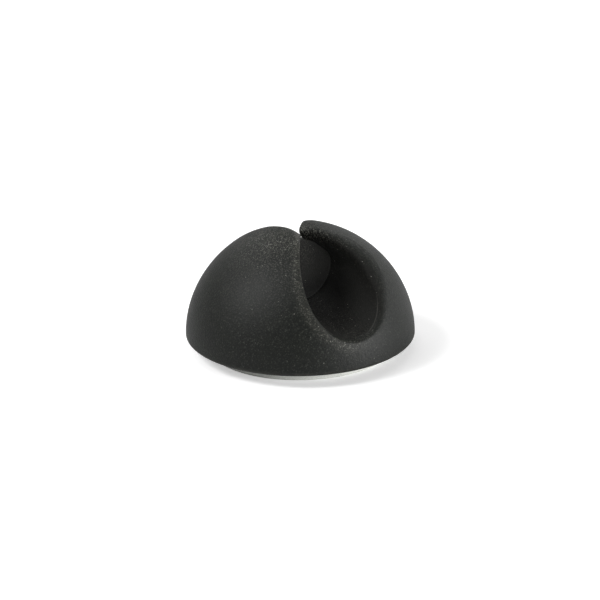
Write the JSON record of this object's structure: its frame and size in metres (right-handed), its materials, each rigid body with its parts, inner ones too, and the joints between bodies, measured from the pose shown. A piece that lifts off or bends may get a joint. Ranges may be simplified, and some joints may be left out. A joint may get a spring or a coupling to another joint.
{
  "type": "adhesive cable clip",
  "caption": "Soft rubber dome on a round adhesive foam pad; a springy arm curls over a through channel that holds a cable pressed in from above.",
  "frame": {"origin": "centre of the adhesive pad's underside, on the surface that the clip is stuck to", "axes": "+Z away from that surface, +Y along the cable channel, +X towards the arm that curls over the channel, with the solid hump at -X"},
  "size_m": [0.03, 0.03, 0.0165],
  "materials": {
    "soft_rubber": "fine matte grain, soft touch",
    "grey_foam": "matte foam tape, light grey"
  },
  "bodies": {
    "root": {"clip_body": "soft_rubber", "adhesive_pad": "grey_foam"}
  },
  "joints": []
}
